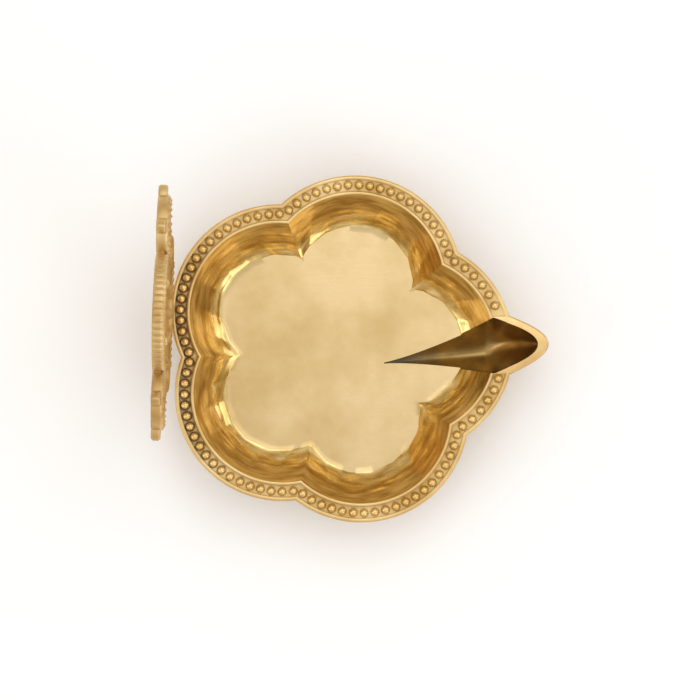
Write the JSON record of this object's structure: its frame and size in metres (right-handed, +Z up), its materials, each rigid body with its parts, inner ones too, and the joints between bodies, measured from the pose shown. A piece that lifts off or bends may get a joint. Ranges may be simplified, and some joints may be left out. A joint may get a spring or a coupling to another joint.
{
  "type": "diya oil lamp",
  "caption": "Cast brass oil lamp: shallow five-lobed bowl with beaded rim, wick spout and ring foot, and an upright relief plate with wheel, three-stroke mark and conch screwed on behind.",
  "frame": {"origin": "centre of the foot ring's underside, on the table, below the centre of the five lobes", "axes": "+Z up, +X towards the spout's nose, -X towards the back plate; the conch medallion is on +Y"},
  "size_m": [0.11, 0.0966, 0.0865],
  "materials": {
    "bowl_brass": "cast, turned and scraped bright inside, dark in the recesses of the beading",
    "foot_brass": "cast, filed satin",
    "plate_brass": "cast, satin on the high relief, dark in the ground",
    "screw_brass": "turned",
    "washer_brass": "stamped"
  },
  "bodies": {
    "root": {"bowl": "bowl_brass", "foot_ring": "foot_brass", "back_plate": "plate_brass", "fixing_screw": "screw_brass", "washer": "washer_brass"}
  },
  "joints": []
}
